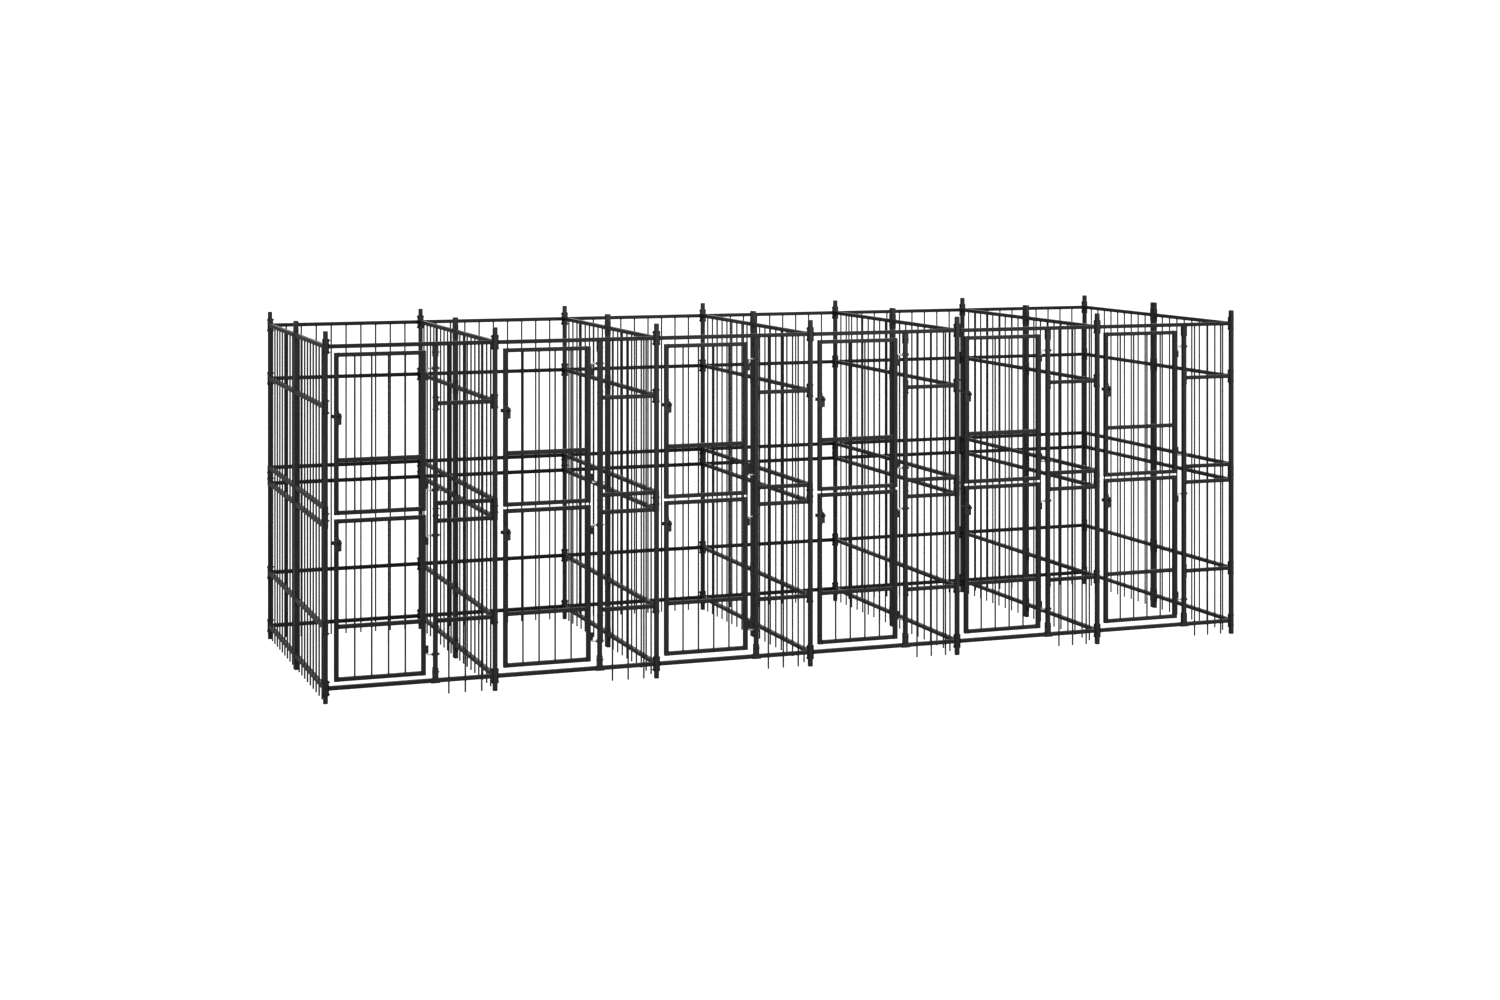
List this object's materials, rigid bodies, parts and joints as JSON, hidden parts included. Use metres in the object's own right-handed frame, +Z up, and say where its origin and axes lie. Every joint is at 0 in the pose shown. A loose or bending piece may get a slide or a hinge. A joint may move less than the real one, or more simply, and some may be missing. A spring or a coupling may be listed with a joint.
{
  "type": "kennel cage row",
  "caption": "Open-topped row of barred kennel cells, two bays deep, with upper and lower hinged door leaves, sliding latches and bolted panels.",
  "frame": {"origin": "centre of the foot of the front left corner post, on the floor", "axes": "+X along the door front to the right, +Y from the door front to the back, +Z up"},
  "size_m": [5.798, 1.965, 2.054],
  "materials": {
    "black_powder_coat": "satin powder coat",
    "black_plastic": "moulded matt",
    "black_fasteners": "black passivated",
    "zinc": "bright zinc plate",
    "dark_zinc": "black zinc plate"
  },
  "bodies": {
    "row": {"front_posts": "black_powder_coat", "middle_posts": "black_powder_coat", "rear_posts": "black_powder_coat", "door_posts": "black_powder_coat", "post_caps": "black_plastic", "post_feet": "black_plastic", "door_post_sockets": "black_powder_coat", "left_end_panels": "black_powder_coat", "divider_1_panels": "black_powder_coat", "divider_2_panels": "black_powder_coat", "divider_3_panels": "black_powder_coat", "divider_4_panels": "black_powder_coat", "divider_5_panels": "black_powder_coat", "right_end_panels": "black_powder_coat", "rear_panels": "black_powder_coat", "header_rails": "black_powder_coat", "sill_rails": "black_powder_coat", "front_grilles": "black_powder_coat", "clamp_bolts": "black_fasteners", "clamp_nuts": "black_fasteners", "hinge_bolts": "zinc", "hinge_nuts": "black_fasteners", "hinge_washers": "zinc"},
    "upper_door_1": {"upper_leaf_1": "black_powder_coat", "upper_latch_1": "black_plastic"},
    "upper_slide_1": {"upper_bolt_1": "dark_zinc"},
    "upper_door_2": {"upper_leaf_2": "black_powder_coat", "upper_latch_2": "black_plastic"},
    "upper_slide_2": {"upper_bolt_2": "dark_zinc"},
    "upper_door_3": {"upper_leaf_3": "black_powder_coat", "upper_latch_3": "black_plastic"},
    "upper_slide_3": {"upper_bolt_3": "dark_zinc"},
    "upper_door_4": {"upper_leaf_4": "black_powder_coat", "upper_latch_4": "black_plastic"},
    "upper_slide_4": {"upper_bolt_4": "dark_zinc"},
    "upper_door_5": {"upper_leaf_5": "black_powder_coat", "upper_latch_5": "black_plastic"},
    "upper_slide_5": {"upper_bolt_5": "dark_zinc"},
    "upper_door_6": {"upper_leaf_6": "black_powder_coat", "upper_latch_6": "black_plastic"},
    "upper_slide_6": {"upper_bolt_6": "dark_zinc"},
    "lower_door_1": {"lower_leaf_1": "black_powder_coat", "lower_latch_1": "black_plastic"},
    "lower_slide_1": {"lower_bolt_1": "dark_zinc"},
    "lower_door_2": {"lower_leaf_2": "black_powder_coat", "lower_latch_2": "black_plastic"},
    "lower_slide_2": {"lower_bolt_2": "dark_zinc"},
    "lower_door_3": {"lower_leaf_3": "black_powder_coat", "lower_latch_3": "black_plastic"},
    "lower_slide_3": {"lower_bolt_3": "dark_zinc"},
    "lower_door_4": {"lower_leaf_4": "black_powder_coat", "lower_latch_4": "black_plastic"},
    "lower_slide_4": {"lower_bolt_4": "dark_zinc"},
    "lower_door_5": {"lower_leaf_5": "black_powder_coat", "lower_latch_5": "black_plastic"},
    "lower_slide_5": {"lower_bolt_5": "dark_zinc"},
    "lower_door_6": {"lower_leaf_6": "black_powder_coat", "lower_latch_6": "black_plastic"},
    "lower_slide_6": {"lower_bolt_6": "dark_zinc"}
  },
  "joints": [
    {"name": "upper_door_1_hinge", "type": "hinge", "parent": "row", "child": "upper_door_1", "pos_m": [0.57, 0, 1], "axis": [0, 0, 1], "range_deg": [0, 100]},
    {"name": "upper_latch_1_slide", "type": "slide", "parent": "upper_door_1", "child": "upper_slide_1", "axis": [-1, 0, 0], "range_m": [0, 0.027]},
    {"name": "upper_door_2_hinge", "type": "hinge", "parent": "row", "child": "upper_door_2", "pos_m": [1.53, 0, 1], "axis": [0, 0, 1], "range_deg": [0, 100]},
    {"name": "upper_latch_2_slide", "type": "slide", "parent": "upper_door_2", "child": "upper_slide_2", "axis": [-1, 0, 0], "range_m": [0, 0.027]},
    {"name": "upper_door_3_hinge", "type": "hinge", "parent": "row", "child": "upper_door_3", "pos_m": [2.49, 0, 1], "axis": [0, 0, 1], "range_deg": [0, 100]},
    {"name": "upper_latch_3_slide", "type": "slide", "parent": "upper_door_3", "child": "upper_slide_3", "axis": [-1, 0, 0], "range_m": [0, 0.027]},
    {"name": "upper_door_4_hinge", "type": "hinge", "parent": "row", "child": "upper_door_4", "pos_m": [3.45, 0, 1], "axis": [0, 0, 1], "range_deg": [0, 100]},
    {"name": "upper_latch_4_slide", "type": "slide", "parent": "upper_door_4", "child": "upper_slide_4", "axis": [-1, 0, 0], "range_m": [0, 0.027]},
    {"name": "upper_door_5_hinge", "type": "hinge", "parent": "row", "child": "upper_door_5", "pos_m": [4.41, 0, 1], "axis": [0, 0, 1], "range_deg": [0, 100]},
    {"name": "upper_latch_5_slide", "type": "slide", "parent": "upper_door_5", "child": "upper_slide_5", "axis": [-1, 0, 0], "range_m": [0, 0.027]},
    {"name": "upper_door_6_hinge", "type": "hinge", "parent": "row", "child": "upper_door_6", "pos_m": [5.37, 0, 1], "axis": [0, 0, 1], "range_deg": [0, 100]},
    {"name": "upper_latch_6_slide", "type": "slide", "parent": "upper_door_6", "child": "upper_slide_6", "axis": [-1, 0, 0], "range_m": [0, 0.027]},
    {"name": "lower_door_1_hinge", "type": "hinge", "parent": "row", "child": "lower_door_1", "pos_m": [0.57, 0, 1], "axis": [0, 0, 1], "range_deg": [0, 100]},
    {"name": "lower_latch_1_slide", "type": "slide", "parent": "lower_door_1", "child": "lower_slide_1", "axis": [-1, 0, 0], "range_m": [0, 0.027]},
    {"name": "lower_door_2_hinge", "type": "hinge", "parent": "row", "child": "lower_door_2", "pos_m": [1.53, 0, 1], "axis": [0, 0, 1], "range_deg": [0, 100]},
    {"name": "lower_latch_2_slide", "type": "slide", "parent": "lower_door_2", "child": "lower_slide_2", "axis": [-1, 0, 0], "range_m": [0, 0.027]},
    {"name": "lower_door_3_hinge", "type": "hinge", "parent": "row", "child": "lower_door_3", "pos_m": [2.49, 0, 1], "axis": [0, 0, 1], "range_deg": [0, 100]},
    {"name": "lower_latch_3_slide", "type": "slide", "parent": "lower_door_3", "child": "lower_slide_3", "axis": [-1, 0, 0], "range_m": [0, 0.027]},
    {"name": "lower_door_4_hinge", "type": "hinge", "parent": "row", "child": "lower_door_4", "pos_m": [3.45, 0, 1], "axis": [0, 0, 1], "range_deg": [0, 100]},
    {"name": "lower_latch_4_slide", "type": "slide", "parent": "lower_door_4", "child": "lower_slide_4", "axis": [-1, 0, 0], "range_m": [0, 0.027]},
    {"name": "lower_door_5_hinge", "type": "hinge", "parent": "row", "child": "lower_door_5", "pos_m": [4.41, 0, 1], "axis": [0, 0, 1], "range_deg": [0, 100]},
    {"name": "lower_latch_5_slide", "type": "slide", "parent": "lower_door_5", "child": "lower_slide_5", "axis": [-1, 0, 0], "range_m": [0, 0.027]},
    {"name": "lower_door_6_hinge", "type": "hinge", "parent": "row", "child": "lower_door_6", "pos_m": [5.37, 0, 1], "axis": [0, 0, 1], "range_deg": [0, 100]},
    {"name": "lower_latch_6_slide", "type": "slide", "parent": "lower_door_6", "child": "lower_slide_6", "axis": [-1, 0, 0], "range_m": [0, 0.027]}
  ]
}
